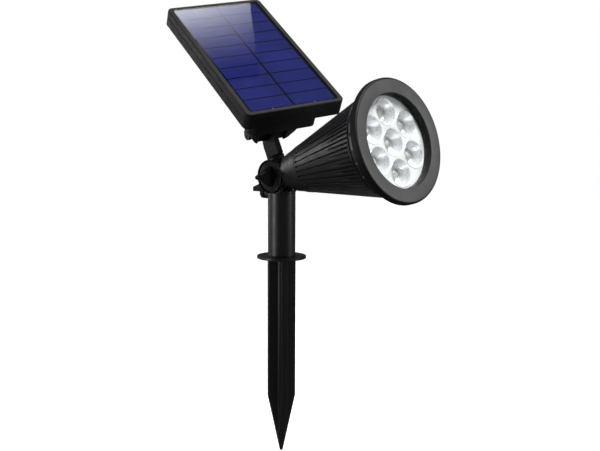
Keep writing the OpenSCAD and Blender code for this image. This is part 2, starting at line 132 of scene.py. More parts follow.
def shift(x, y, z):
    return Matrix.Translation((x, y, z))


TO_METRES = Matrix.Scale(MM, 4)
LAMP = shift(0, 0, HUB_Z) @ turn("X", 90 - LAMP_TILT)
LEAN = shift(0, 0, HUB_Z) @ turn("X", -ARM_LEAN)
ARM = LEAN @ turn("Z", ARM_SWIVEL)
PANEL = ARM @ shift(0, 0, ARM_LEN) @ turn("X", PANEL_TILT)
TRAY = PANEL @ shift(TRAY_X, TRAY_Y, 0)


# ---- materials ---------------------------------------------------------------------------

def add(tree, kind, inputs=None, **settings):
    """Adds a shader node. An input's value is a number, a colour or another node's output."""
    made = tree.nodes.new("ShaderNode" + kind)
    for key, value in settings.items():
        setattr(made, key, value)
    for key, value in (inputs or {}).items():
        if isinstance(value, bpy.types.NodeSocket):
            tree.links.new(value, made.inputs[key])
        else:
            made.inputs[key].default_value = value
    return made


def rgb(r, g, b):
    return (r, g, b, 1)


def shade(colour, factor):
    return rgb(*(min(1, c * factor) for c in colour[:3]))


def new_material(name):
    """A material with a Principled shader, and the object coordinates in metres."""
    made = bpy.data.materials.new(name)
    made.use_nodes = True
    tree = made.node_tree
    tree.nodes.clear()
    output = add(tree, "OutputMaterial")
    shader = add(tree, "BsdfPrincipled")
    tree.links.new(shader.outputs[0], output.inputs["Surface"])
    where = add(tree, "TexCoord").outputs["Object"]
    return made, tree, shader, where


def noise(tree, where, size_mm, detail=3.0, rough=0.5):
    """Noise whose features are about size_mm across."""
    return add(tree, "TexNoise", {"Vector": where, "Scale": 1000 / size_mm, "Detail": detail,
                                  "Roughness": rough}).outputs["Fac"]


def spread(tree, value, low, high, start=0.35, stop=0.65):
    """value's start..stop as low..high."""
    return add(tree, "MapRange", {"Value": value, "From Min": start, "From Max": stop,
                                  "To Min": low, "To Max": high}).outputs["Result"]


def ramp(tree, value, stops):
    """Colour ramp through [(place, colour), ...]."""
    made = add(tree, "ValToRGB", {"Fac": value})
    stops_of = made.color_ramp.elements
    while len(stops_of) < len(stops):
        stops_of.new(0.5)
    for element, (place, colour) in zip(stops_of, stops):
        element.position = place
        element.color = colour
    return made.outputs["Color"]


def mixed(tree, factor, first, second):
    made = add(tree, "MixRGB", {"Fac": factor, "Color1": first, "Color2": second})
    return made.outputs["Color"]


def bumped(tree, shader, height, depth_mm):
    made = add(tree, "Bump", {"Height": height, "Distance": depth_mm * MM})
    tree.links.new(made.outputs["Normal"], shader.inputs["Normal"])


def moulded(name, colour, roughness, grain_mm=0.35, grain_deep=0.02, edge_wear_and_highlight=0.5, level=0.5):
    """Moulded plastic or rubber: fine spark-eroded grain, faint flow clouds, paler edges that are partly
    wear and partly a painted highlight.
    """
    made, tree, shader, where = new_material(name)
    clouds = noise(tree, where, 14, 4)
    base = ramp(tree, clouds, [(0.3, shade(colour, 0.82)), (0.7, shade(colour, 1.2))])
    # Paler rounded edges found by pointiness: partly wear, partly a painted highlight along the edges.
    edges = add(tree, "NewGeometry").outputs["Pointiness"]
    worn_and_highlit = spread(tree, edges, 0, edge_wear_and_highlight, 0.53, 0.62)
    scuffed_and_highlit = add(tree, "Math", {0: worn_and_highlit, 1: noise(tree, where, 3, 4)}, operation="MULTIPLY").outputs[0]
    base = mixed(tree, scuffed_and_highlit, base, shade(colour, 4))
    tree.links.new(base, shader.inputs["Base Color"])
    handled = noise(tree, where, 6, 6, 0.65)
    tree.links.new(spread(tree, handled, roughness - 0.05, roughness + 0.07), shader.inputs["Roughness"])
    shader.inputs["Specular IOR Level"].default_value = level
    grain = noise(tree, where, grain_mm, 2)
    bumped(tree, shader, grain, grain_deep)
    return made


def metal(name, colour, roughness, brush_mm=0.3):
    """Plated steel, brass or aluminium with fine turning marks and faint tarnish."""
    made, tree, shader, where = new_material(name)
    shader.inputs["Metallic"].default_value = 1
    tarnish = noise(tree, where, 5, 5, 0.6)
    base = ramp(tree, tarnish, [(0.3, shade(colour, 0.7)), (0.6, colour)])
    tree.links.new(base, shader.inputs["Base Color"])
    marks = noise(tree, where, brush_mm, 3)
    tree.links.new(spread(tree, marks, roughness - 0.06, roughness + 0.1), shader.inputs["Roughness"])
    bumped(tree, shader, marks, 0.01)
    return made


def clear_cover(name, tint, haze):
    """Thin clear moulding: what is behind it shows, under a gloss that grows at grazing angles."""
    made, tree, shader, where = new_material(name)
    tree.nodes.remove(shader)
    smears = noise(tree, where, 9, 5, 0.6)
    gloss = add(tree, "BsdfGlossy", {"Color": rgb(1, 1, 1)})
    tree.links.new(spread(tree, smears, haze, haze + 0.03), gloss.inputs["Roughness"])
    through = add(tree, "BsdfTransparent", {"Color": tint})
    facing = add(tree, "LayerWeight", {"Blend": 0.5}).outputs["Facing"]
    grazing = add(tree, "Math", {0: facing, 1: 5}, operation="POWER").outputs[0]
    mirrored = spread(tree, grazing, 0.025, 1, 0, 1)
    mix = add(tree, "MixShader", {0: mirrored, 1: through.outputs[0], 2: gloss.outputs[0]})
    tree.links.new(mix.outputs[0], tree.nodes["Material Output"].inputs["Surface"])
    return made


def silicon(name):
    """Solar cells: deep blue with fine silver fingers across the cell and faint crystal grain."""
    made, tree, shader, where = new_material(name)
    local = add(tree, "Mapping", {"Vector": where}, vector_type="TEXTURE")
    local.inputs["Location"].default_value = PANEL.translation * MM
    local.inputs["Rotation"].default_value = PANEL.to_euler()
    across = add(tree, "SeparateXYZ", {0: local.outputs[0]})
    crystals = add(tree, "TexVoronoi", {"Vector": local.outputs[0], "Scale": 260}).outputs["Color"]
    flake = add(tree, "SeparateColor", {0: crystals}).outputs[0]
    clouds = noise(tree, local.outputs[0], 26, 3)
    blue = ramp(tree, clouds, [(0.3, rgb(0.004, 0.006, 0.062)), (0.7, rgb(0.007, 0.011, 0.1))])
    blue = mixed(tree, spread(tree, flake, 0, 0.2, 0, 1), blue, rgb(0.009, 0.015, 0.13))
    fingers = finger_lines(tree, across.outputs["X"], 1.9, 0.045)
    blue = mixed(tree, fingers, blue, rgb(0.03, 0.04, 0.15))
    tree.links.new(blue, shader.inputs["Base Color"])
    shader.inputs["Roughness"].default_value = 0.42
    shader.inputs["Specular IOR Level"].default_value = 0.08
    bumped(tree, shader, flake, 0.006)
    return made


def finger_lines(tree, coordinate, pitch_mm, share):
    """1 on thin lines pitch_mm apart, else 0."""
    cycles = add(tree, "Math", {0: coordinate, 1: 1000 / pitch_mm}, operation="MULTIPLY").outputs[0]
    part = add(tree, "Math", {0: cycles}, operation="FRACT").outputs[0]
    return add(tree, "Math", {0: part, 1: share}, operation="LESS_THAN").outputs[0]


def chrome(name):
    """Thinly metallised reflector: a satin sheen over pale plastic, slightly orange-peeled; the pale,
    mostly diffuse base is partly a painted reflection of a bright studio.
    """
    made, tree, shader, where = new_material(name)
    shader.inputs["Metallic"].default_value = 0.35
    peel = noise(tree, where, 1.6, 3)
    # Pale base colour: partly the cup's own finish, partly a painted reflection of bright surroundings.
    tree.links.new(ramp(tree, peel, [(0.3, rgb(0.86, 0.86, 0.87)), (0.7, rgb(0.96, 0.96, 0.97))]),
                   shader.inputs["Base Color"])
    tree.links.new(spread(tree, peel, 0.26, 0.36), shader.inputs["Roughness"])
    bumped(tree, shader, peel, 0.05)
    return made


def resin_dome(name):
    """Clear silicone dome over an LED, a little milky."""
    made, tree, shader, where = new_material(name)
    shader.inputs["Roughness"].default_value = 0.12
    shader.inputs["IOR"].default_value = 1.42
    shader.inputs["Transmission Weight"].default_value = 0.6
    milk = noise(tree, where, 2.5, 3)
    tree.links.new(ramp(tree, milk, [(0.3, rgb(0.74, 0.74, 0.72)), (0.7, rgb(0.9, 0.9, 0.88))]),
                   shader.inputs["Base Color"])
    return made


def circuit(name, colour, trace, level=0.5):
    """Printed board: solder mask with paler traces under it."""
    made, tree, shader, where = new_material(name)
    cells = add(tree, "TexBrick", {"Vector": where, "Scale": 220, "Color1": colour,
                                   "Color2": shade(colour, 0.8), "Mortar": trace,
                                   "Mortar Size": 0.03}).outputs["Color"]
    tree.links.new(cells, shader.inputs["Base Color"])
    tree.links.new(spread(tree, noise(tree, where, 4), 0.3, 0.45), shader.inputs["Roughness"])
    shader.inputs["Specular IOR Level"].default_value = level
    bumped(tree, shader, noise(tree, where, 0.6), 0.01)
    return made


BLACK = rgb(0.012, 0.012, 0.0125)
MATERIALS = {
    "black_plastic": moulded("black_plastic", BLACK, 0.4),
    "panel_plastic": moulded("panel_plastic", rgb(0.026, 0.026, 0.0265), 0.5, 0.5, 0.03, 0.5, 0.07),
    "fin_plastic": moulded("fin_plastic", rgb(0.011, 0.0105, 0.0105), 0.44, 0.3, 0.015, 0.2, 0.4),
    "knob_plastic": moulded("knob_plastic", rgb(0.007, 0.007, 0.0072), 0.32, 0.4, 0.012, 0.5, 0.2),
    "grey_ring": moulded("grey_ring", rgb(0.045, 0.045, 0.0455), 0.5, 0.3, 0.012, 0.2),
    # Pale grey of the collar's tabs and pins: a painted highlight and glints.
    "tab_painted_highlight": moulded("tab_painted_highlight", rgb(0.16, 0.16, 0.16), 0.4, 0.3, 0.01, 0.2),
    "rubber": moulded("rubber", rgb(0.01, 0.01, 0.01), 0.62, 0.5, 0.02, 0.1, 0.3),
    "skirt_plastic": moulded("skirt_plastic", rgb(0.006, 0.006, 0.0062), 0.55, 0.4, 0.012, 0.2, 0.2),
    "white_plastic": moulded("white_plastic", rgb(0.82, 0.82, 0.82), 0.4, 0.4, 0.01, 0),
    "steel": metal("steel", rgb(0.56, 0.56, 0.55), 0.3),
    "blackened_steel": metal("blackened_steel", rgb(0.03, 0.03, 0.031), 0.42),
    "brass": metal("brass", rgb(0.66, 0.46, 0.2), 0.3),
    "chrome_cup": chrome("chrome_cup"),
    "led_package": moulded("led_package", rgb(0.76, 0.72, 0.55), 0.45, 0.4, 0.01, 0),
    "resin_dome": resin_dome("resin_dome"),
    "clear_cover": clear_cover("clear_cover", rgb(0.97, 0.98, 0.98), 0.02),
    "solar_film": clear_cover("solar_film", rgb(0.97, 0.975, 1), 0.015),
    "solar_silicon": silicon("solar_silicon"),
    "aluminium_board": metal("aluminium_board", rgb(0.75, 0.75, 0.74), 0.35),
    "tinned_ribbon": metal("tinned_ribbon", rgb(0.62, 0.62, 0.6), 0.28),
    "dark_board": circuit("dark_board", rgb(0.001, 0.001, 0.0015), rgb(0.002, 0.002, 0.003), 0.02),
    "green_board": circuit("green_board", rgb(0.008, 0.09, 0.03), rgb(0.02, 0.16, 0.06)),
    "battery_sleeve": moulded("battery_sleeve", rgb(0.03, 0.2, 0.09), 0.3, 0.6, 0.01, 0.2),
}


# ---- mesh tools --------------------------------------------------------------------------

def link_mesh(name, mesh_data, materials):
    made = bpy.data.objects.new(name, mesh_data)
    bpy.context.scene.collection.objects.link(made)
    for one in materials:
        mesh_data.materials.append(MATERIALS[one])
    return made


def smooth_by_angle(bm, degrees=32):
    """Smooth faces, with an edge kept sharp where it is steeper than degrees."""
    limit = math.radians(degrees)
    for face in bm.faces:
        face.smooth = True
    for edge in bm.edges:
        edge.smooth = not (len(edge.link_faces) == 2 and edge.calc_face_angle(0) > limit)


def placed(name, bm, where, materials, body, nodes=(), sharp=32):
    """Turns a bmesh in millimetres of the frame where into a piece that rides on body."""
    bmesh.ops.recalc_face_normals(bm, faces=bm.faces)
    smooth_by_angle(bm, sharp)
    data = bpy.data.meshes.new(name)
    bm.to_mesh(data)
    bm.free()
    data.transform(TO_METRES @ where)
    made = link_mesh(name, data, materials)
    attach(made, body)
    if nodes:
        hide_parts(*nodes)
    return made


def body_of_node(node):
    return next(b for b, members in frame["record"]["behaviour"]["bodies"].items() if node in members)


def slot_of_node(node):
    return next(p["material_slot"] for p in frame["record"]["subparts"] if p["node"] == node)


def refined(node, bevel_mm, material=None, segments=3, angle=28):
    """A copy of a CAD node with its edges rounded, which stands for it."""
    bm = bmesh.new()
    bm.from_mesh(NODES[node].data)
    bmesh.ops.remove_doubles(bm, verts=bm.verts, dist=0.00002)
    bmesh.ops.dissolve_degenerate(bm, edges=bm.edges, dist=0.00003)
    bmesh.ops.dissolve_limit(bm, angle_limit=math.radians(0.6), verts=bm.verts, edges=bm.edges)
    smooth_by_angle(bm, angle)
    data = bpy.data.meshes.new(node + "_looks")
    bm.to_mesh(data)
    bm.free()
    slot = slot_of_node(node)
    made = link_mesh(node + "_looks", data, [material or slot])
    rounding = made.modifiers.new("rounding", "BEVEL")
    rounding.width = bevel_mm * MM
    rounding.segments = segments
    rounding.limit_method = "ANGLE"
    rounding.angle_limit = math.radians(angle)
    rounding.use_clamp_overlap = False
    rounding.miter_outer = "MITER_ARC"
    rounding.harden_normals = True
    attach(made, body_of_node(node))
    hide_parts(node)
    return made


def ring_of(bm, points):
    return [bm.verts.new(p) for p in points]


def bridge(bm, first, second, material=0):
    """Quads between two closed rings of the same length."""
    count = len(first)
    for i in range(count):
        j = (i + 1) % count
        face = bm.faces.new((first[i], first[j], second[j], second[i]))
        face.material_index = material


def fan(bm, ring, centre, material=0):
    tip = bm.verts.new(centre)
    count = len(ring)
    for i in range(count):
        face = bm.faces.new((ring[i], ring[(i + 1) % count], tip))
        face.material_index = material


def lathe(profile, steps, bm=None, where=None, closed=False, band_material=None):
    """Turns (radius, height) points about Z. A radius of 0 closes the end to a point."""
    bm = bm or bmesh.new()
    where = where or Matrix.Identity(4)
    rings = []
    for radius, height in profile:
        if radius == 0:
            rings.append(where @ Vector((0, 0, height)))
            continue
        angles = [2 * math.pi * i / steps for i in range(steps)]
        rings.append(ring_of(bm, [where @ Vector((radius * math.cos(a), radius * math.sin(a), height))
                                  for a in angles]))
    pairs = list(zip(rings, rings[1:])) + ([(rings[-1], rings[0])] if closed else [])
    for index, (first, second) in enumerate(pairs):
        material = band_material(index) if band_material else 0
        if isinstance(first, Vector):
            fan(bm, second, first, material)
        elif isinstance(second, Vector):
            fan(bm, first, second, material)
        else:
            bridge(bm, first, second, material)
    return bm


def arc(centre, radius, start, stop, count):
    """Points on an arc of a profile, angles in degrees."""
    steps = [math.radians(start + (stop - start) * i / (count - 1)) for i in range(count)]
    return [(centre[0] + radius * math.cos(a), centre[1] + radius * math.sin(a)) for a in steps]


def rounded_outline(width, length, radius, corner_steps=8):
    """Points round a rectangle with round corners, centred."""
    points = []
    for k, (sx, sy) in enumerate([(1, 1), (-1, 1), (-1, -1), (1, -1)]):
        centre = (sx * (width / 2 - radius), sy * (length / 2 - radius))
        points += arc(centre, radius, 90 * k, 90 * (k + 1), corner_steps)
    return points


def loft(loops, closed=False):
    """Skins [(outline points, height), ...]. Open ends are capped."""
    bm = bmesh.new()
    rings = [ring_of(bm, [(x, y, z) for x, y in outline]) for outline, z in loops]
    for first, second in zip(rings, rings[1:]):
        bridge(bm, first, second)
    if closed:
        bridge(bm, rings[-1], rings[0])
    else:
        bm.faces.new(list(reversed(rings[0])))
        bm.faces.new(rings[-1])
    return bm


# ---- lamp --------------------------------------------------------------------------------

def cone_radius(s):
    (s0, r0), (s1, r1) = CONE_REAR, CONE_FRONT
    return r0 + (r1 - r0) * (s - s0) / (s1 - s0)


def groove_depth(s, short):
    """Depth of a cooling groove at s along the lamp."""
    start = SHORT_GROOVE_FROM if short else FINS_FROM
    if s <= start or s >= FINS_TO:
        return 0
    ramp_up = min(1, (s - start) / (SHORT_GROOVE_RAMP if short else LONG_GROOVE_RAMP))
    along = (s - FINS_FROM) / (FINS_TO - FINS_FROM)
    return ramp_up * (GROOVE_DEPTH + along)


def fin_columns():
    """Columns round the cone: (angle of the groove's middle, offset, share of depth, is it short)."""
    section = [(-1.75, 0), (-1.12, 0), (-0.92, 0.12), (-0.8, 0.9), (-0.62, 1),
               (0.62, 1), (0.8, 0.9), (0.92, 0.12), (1.12, 0), (1.75, 0)]
    pitch = 180 / FIN_PAIRS
    return [(pitch * k, offset, share, k % 2 == 1)
            for k in range(2 * FIN_PAIRS) for offset, share in section]


# Raised tabs and pins on a third of the collar, coloured pale grey as a painted highlight and glints:
# first angle, last angle, height
SNAP_TABS = (
    (158, 167, 0.55), (171.5, 184, 0.55), (141, 142.4, 0.8), (197.3, 198.7, 0.8), (212.3, 213.7, 0.8),
)


def finned_cone():
    """Cone with long and short cooling grooves, the lip in front of them and the collar with its tabs."""
    hair, flare_share, flare_length = 0.001, 0.9, 5
    rows = [(hair, NECK_TO), (cone_radius(NECK_TO), NECK_TO)]
    rows.append((cone_radius(FINS_FROM) - 0.35, FINS_FROM - 0.3))
    stations = (FINS_FROM, 33.3, 33.6, 34.4, 36, 38, 44, 50, 57, 65, 72, SHORT_GROOVE_FROM, 77, 81, 85,
                88, 91, 94, 97, 98.5, FINS_TO)
    rows += [(cone_radius(s), s) for s in stations]
    lip = cone_radius(99.4) + 0.35
    rows += [(lip - 0.3, LIP_FROM), (lip, LIP_FROM + 0.25), (lip, LIP_TO - 0.3), (lip - 0.3, LIP_TO)]
    rows += [(WAIST_R, LIP_TO + 0.1), (WAIST_R, COLLAR_FROM - 0.1)]
    rounding = COLLAR_R - COLLAR_EDGE, COLLAR_FROM + COLLAR_EDGE
    rows += [(COLLAR_R - COLLAR_EDGE, COLLAR_FROM)] + arc(rounding, COLLAR_EDGE, -60, 0, 3)
    rows += [(COLLAR_R, COLLAR_TO - COLLAR_EDGE), (COLLAR_R - 0.3, COLLAR_TO), (CAVITY_R, COLLAR_TO),
             (CAVITY_R, CAVITY_FROM), (hair, CAVITY_FROM)]
    bm = bmesh.new()
    columns = fin_columns()
    rings = []
    for radius, s in rows:
        grooved = FINS_FROM <= s <= FINS_TO and radius > cone_radius(s) - 0.1
        flare = 1 + flare_share * max(0, 1 - (s - FINS_FROM) / flare_length)
        points = []
        for middle, offset, share, short in columns:
            r = radius - (share * groove_depth(s, short) if grooved else 0)
            wide = flare if abs(offset) < 1.5 and not short and s >= FINS_FROM else 1
            a = math.radians(middle + offset * wide)
            points.append((r * math.cos(a), r * math.sin(a), s))
        rings.append(ring_of(bm, points))
    for first, second in zip(rings, rings[1:]):
        bridge(bm, first, second)
    bm.faces.new(list(reversed(rings[0])))
    bm.faces.new(rings[-1])
    cone_faces = set(bm.faces)
    for third in range(3):
        for start, stop, rise in SNAP_TABS:
            turned = 120 * third
            radii = COLLAR_R - 0.3, COLLAR_R + rise
            curved_pad(bm, start + turned, stop + turned, *radii, TABS_FROM, TABS_TO)
    # The tabs and pins take a pale grey that paints their highlight and glints.
    for face in set(bm.faces) - cone_faces:
        face.material_index = 1
    materials = ["fin_plastic", "tab_painted_highlight"]
    return placed("finned_cone", bm, LAMP, materials, "lamp", ["lamp_housing"], sharp=40)


def curved_pad(bm, start, stop, inner, outer, s_from, s_to):
    """Pad between two angles round the lamp's axis, with a small chamfer."""
    steps = max(2, round((stop - start) / 1.5) + 1)
    angles = [math.radians(start + (stop - start) * i / (steps - 1)) for i in range(steps)]
    chamfer = 0.2
    section = [(inner, s_from), (outer - chamfer, s_from), (outer, s_from + chamfer),
               (outer, s_to - chamfer), (outer - chamfer, s_to), (inner, s_to)]
    rows = [ring_of(bm, [(r * math.cos(a), r * math.sin(a), s) for r, s in section]) for a in angles]
    for first, second in zip(rows, rows[1:]):
        bridge(bm, first, second)
    bm.faces.new(list(reversed(rows[0])))
    bm.faces.new(rows[-1])


def solid_object(bm, where, name="cutter"):
    """A plain object for a Boolean, from a bmesh in the frame where."""
    bmesh.ops.recalc_face_normals(bm, faces=bm.faces)
    data = bpy.data.meshes.new(name)
    bm.to_mesh(data)
    bm.free()
    data.transform(where)
    made = bpy.data.objects.new(name, data)
    bpy.context.scene.collection.objects.link(made)
    return made


def combined(bm, steps):
    """bm after Booleans with [(operation, bmesh, frame), ...]."""
    base = solid_object(bm, Matrix.Identity(4), "base_shape")
    tools = []
    for operation, shape, where in steps:
        tool = solid_object(shape, where)
        tools.append(tool)
        cut = base.modifiers.new(operation, "BOOLEAN")
        cut.operation = operation
        cut.object = tool
        cut.solver = "EXACT"
    bpy.context.view_layer.update()
    result = bmesh.new()
    result.from_object(base, bpy.context.evaluated_depsgraph_get())
    for made in [base] + tools:
        data = made.data
        bpy.data.objects.remove(made)
        bpy.data.meshes.remove(data)
    bmesh.ops.remove_doubles(result, verts=result.verts, dist=0.002)
    bmesh.ops.dissolve_degenerate(result, edges=result.edges, dist=0.002)
    return result


def block(low, high):
    bm = bmesh.new()
    (x0, y0, z0), (x1, y1, z1) = low, high
    rings = [ring_of(bm, [(x0, y0, z), (x1, y0, z), (x1, y1, z), (x0, y1, z)]) for z in (z0, z1)]
    bridge(bm, *rings)
    bm.faces.new(list(reversed(rings[0])))
    bm.faces.new(rings[1])
    return bm


def rod(radius, start, stop, steps=64):
    return lathe([(0, start), (radius, start), (radius, stop), (0, stop)], steps)


# Barrel of the neck: radius, distance along the lamp
BARREL = ((14, 14.4), (14.5, 16), (15.1, 18.5), (15.7, 21), (16.5, 23.5), (17.3, 26), (17.9, 28.5))


def neck():
    """Barrel-shaped neck with the knuckle, its bore, and the relief for the pole's rim below."""
    rows = [(0, NECK_FROM), (NECK_R, NECK_FROM)] + arc((NECK_R, NECK_FROM + 0.7), 0.7, -80, 0, 4)
    rows += [*BARREL, (cone_radius(NECK_TO), NECK_TO), (0, NECK_TO)]
    bm = lathe(rows, 128)
    across = turn("Y", 90)
    half = KNUCKLE_T / 2
    pole_at_full_drop = turn("X", -(90 - LAMP_TILT + DROP))
    side = POLE_R + 0.3
    notch = rod(NOTCH_R, -side, side, 96)
    cap = block((-side - 1, NOTCH_TOP, -1), (side + 1, 40, 40))
    below = combined(notch, [("DIFFERENCE", cap, turn("Y", -90))])
    dropped_pole = block((-side, -side, -60), (side, side, 0.3 - (HUB_Z - POLE_TOP)))
    gland_bore = rod(2.6, 12, 22, 48)
    return placed("neck", combined(bm, [
        ("UNION", rod(KNUCKLE_R, -half, half), across),
        ("UNION", block((-half, -KNUCKLE_R, 0), (half, KNUCKLE_R, NECK_FROM + 1)), Matrix.Identity(4)),
        ("DIFFERENCE", rod(SCREW_BORE_R, -10, 10, 48), across),
        ("DIFFERENCE", dropped_pole, pole_at_full_drop),
        ("DIFFERENCE", below, across),
        ("DIFFERENCE", gland_bore, shift(0, 0, 24) @ across),
    ]), LAMP, ["fin_plastic"], "lamp")


def bezel():
    """Front ring: flat grey face, rolled black skirt, finely ribbed inner wall."""
    rib_count, rib_deep, roll = 120, 0.22, 1.6
    skirt = arc((BEZEL_R - roll, BEZEL_FRONT - roll), roll, 0, 76, 7)
    profile = [(WINDOW_R + 0.1, BEZEL_FROM), (BEZEL_R - 0.7, BEZEL_FROM), (BEZEL_R, BEZEL_FROM + 0.7)]
    profile += skirt + [(BEZEL_R - 1.5, BEZEL_FRONT), (WINDOW_R + 0.9, BEZEL_FRONT)]
    profile += [(WINDOW_R + 0.55, BEZEL_FRONT - 0.12), (WINDOW_R + 0.4, BEZEL_FRONT - 0.5)]
    face_band = len(profile) - 4
    ribs_from = len(profile) - 1
    profile += [(WINDOW_R + 0.25, BEZEL_FRONT - 1), (WINDOW_R + 0.1, BEZEL_FROM + 0.4)]
    bm = lathe(profile, 2 * rib_count, closed=True,
               band_material=lambda i: 0 if face_band <= i <= face_band + 1 else 1)
    bm.verts.ensure_lookup_table()
    per_ring = 2 * rib_count
    for ring in (ribs_from + 1, ribs_from + 2):
        for i in range(0, per_ring, 2):
            vert = bm.verts[ring * per_ring + i]
            vert.co.x *= 1 + rib_deep / WINDOW_R
            vert.co.y *= 1 + rib_deep / WINDOW_R
    materials = ["grey_ring", "skirt_plastic"]
    return placed("front_ring", bm, LAMP, materials, "lamp", ["bezel_ring"])


def reflector_places():
    yield (0, 0)
    for i in range(6):
        a = math.radians(REFLECTOR_TURN + 60 * i)
        yield (REFLECTOR_RING_R * math.cos(a), REFLECTOR_RING_R * math.sin(a))


def reflectors():
    """Seven parabolic cups with a rolled rim."""
    floor_r, deep, wall, steps = 4.1, 8.0, 0.35, 12
    curve = [(floor_r + (REFLECTOR_R - 0.45 - floor_r) * math.sqrt(t / steps), 0.2 + deep * t / steps)
             for t in range(steps + 1)]
    rim = arc((REFLECTOR_R - 0.25, deep + 0.15), 0.22, 180, 0, 6)
    outer = [(r + wall, z - 0.1) for r, z in reversed(curve[:-1])]
    bm = bmesh.new()
    for x, y in reflector_places():
        lathe(curve + rim + outer, 64, bm, shift(x, y, BOARD_FACE), closed=True)
    return placed("reflectors", bm, LAMP, ["chrome_cup"], "lamp", ["reflector_cups"])


def led_domes():
    """Clear dome over each emitter, with a small flange."""
    flange_r, flange_from, flange_to, dome_r = 4.0, 0.05, 0.6, 3.7
    dome = [(flange_r, flange_from), (flange_r, flange_to - 0.1), (dome_r + 0.05, flange_to)]
    dome += arc((0, flange_to), dome_r, 0, 84, 10)
    tip = flange_to + dome_r + 0.02
    bm = bmesh.new()
    for x, y in reflector_places():
        lathe([(0, flange_from)] + dome + [(0, tip)], 48, bm, shift(x, y, BOARD_FACE + 0.1))
    return placed("led_domes", bm, LAMP, ["resin_dome"], "lamp")


# ---- panel -------------------------------------------------------------------------------

def panel_rim():
    """Upper frame of the panel: a narrow flat border with rolled outer edges and a seat for the cover."""
    corner, roll = 4, 1.1
    loops = [(rounded_outline(PANEL_W - 0.5, PANEL_L - 0.5, corner - 0.25), SPLIT_Z),
             (rounded_outline(PANEL_W, PANEL_L, corner), SPLIT_Z + 0.25)]
    for inset, z in arc((0, 0), roll, 0, 90, 8):
        cut = roll - inset
        outline = rounded_outline(PANEL_W - 2 * cut, PANEL_L - 2 * cut, corner - cut)
        loops.append((outline, FACE_Z - roll + z))
    # How much wider than the cover, corner radius, height
    seat = ((0.9, 2.2, FACE_Z), (0.6, 2.1, FACE_Z - 0.12), (0.4, 2, FACE_Z - 0.4),
            (0.4, 2, COVER_SEAT_Z), (-5.6, 2, COVER_SEAT_Z), (-5.6, 2, SPLIT_Z))
    for grow, radius, z in seat:
        loops.append((rounded_outline(COVER_W + grow, COVER_L + grow, radius), z))
    bm = loft(loops, closed=True)
    return placed("panel_rim", bm, TRAY, ["panel_plastic"], "panel", ["panel_frame"],
                  sharp=24)


def solar_cover():
    """Glossy sheet over the cells, lying in the rim."""
    corner, bevel = 1.8, 0.1
    outline = rounded_outline(COVER_W, COVER_L, corner)
    face = rounded_outline(COVER_W - 2 * bevel, COVER_L - 2 * bevel, corner - bevel)
    loops = [(outline, COVER_FOOT_Z), (outline, COVER_TOP_Z - bevel), (face, COVER_TOP_Z)]
    return placed("cover_sheet", loft(loops), TRAY, ["solar_film"], "panel", ["solar_cover"])


# ---- clamp knobs -------------------------------------------------------------------------

def prism(bm, profile, half, chamfer):
    """Solid on a profile in (x, z) that reaches half to each side along y, with chamfered side edges."""
    middle = Vector((sum(p[0] for p in profile) / len(profile), sum(p[1] for p in profile) / len(profile)))
    rings = []
    for y, shrink in ((-half, chamfer), (-half + chamfer, 0), (half - chamfer, 0), (half, chamfer)):
        points = []
        for x, z in profile:
            inward = middle - Vector((x, z))
            inward.normalize()
            points.append((x + inward.x * shrink, y, z + inward.y * shrink))
        rings.append(ring_of(bm, points))
    for first, second in zip(rings, rings[1:]):
        bridge(bm, first, second)
    bm.faces.new(rings[0])
    bm.faces.new(list(reversed(rings[-1])))
    return bm


def tilt_knob():
    """Dished disc with a thin rim, a triangular grip and a hub behind."""
    disc_r, thick, rim, dish, bore_r, grip_l = 12, 2.6, 0.7, 0.9, 2.5, 14
    profile = [(bore_r, -0.6), (2 * bore_r - 0.2, -0.6), (2 * bore_r, -0.4), (2 * bore_r, 0)]
    profile += [(disc_r - 0.4, 0)] + arc((disc_r - 0.4, 0.4), 0.4, -70, 0, 4)
    profile += arc((disc_r - rim / 2, thick - rim / 2), rim / 2, 0, 180, 9)
    profile += [(disc_r - rim - 0.1, dish + 0.5), (disc_r - rim - 0.5, dish + 0.1)]
    profile += [(disc_r - rim - 1, dish), (bore_r, dish)]
    bm = lathe(profile, 96, closed=True)
    half_base, tip = 0.62 * disc_r, 1.2
    low = dish - 0.1
    top = low + grip_l
    steps = 9
    right = [(half_base + (tip - half_base) * i / steps, low + (grip_l - 0.8) * i / steps)
             for i in range(steps + 1)]
    left = [(-x, z) for x, z in reversed(right)]
    nose = [(tip * 0.8, top - 0.2), (tip * 0.4, top), (-tip * 0.4, top), (-tip * 0.8, top - 0.2)]
    prism(bm, right + nose + left, GRIP_HALF, GRIP_CHAMFER)
    where = shift(-CHEEK_OUT - KNOB_STANDOFF, 0, HUB_Z) @ turn("Y", -90)
    return placed("tilt_grip", bm, where, ["knob_plastic"], "tilt_clamp", ["tilt_knob"])


def rear_lever():
    """Small hub on the rear clamp screw with a blade that rises from it."""
    hub_r, hub_t, bore_r, long = 4, 4, 2, 13.5
    profile = [(bore_r, 0), (hub_r - 0.3, 0), (hub_r, 0.3)]
    profile += [(hub_r, hub_t - 0.4), (hub_r - 0.4, hub_t), (bore_r, hub_t)]
    bm = lathe(profile, 64, closed=True)
    blade = [(-8.6, 1.4), (-0.8, 1.4), (-0.6, long - 0.4), (-1, long), (-3.4, long), (-3.9, long - 0.5)]
    prism(bm, blade, GRIP_HALF, GRIP_CHAMFER)
    where = shift(0, BOSS_Y + KNOB_STANDOFF, BOSS_Z) @ turn("Y", 90) @ turn("X", -90)
    return placed("rear_lever", bm, where, ["knob_plastic"], "swivel_clamp",
                  ["swivel_knob"])


# ---- the object --------------------------------------------------------------------------

neck()
finned_cone()
solar_cover()
tilt_knob()
rear_lever()
bezel()
reflectors()
led_domes()
panel_rim()

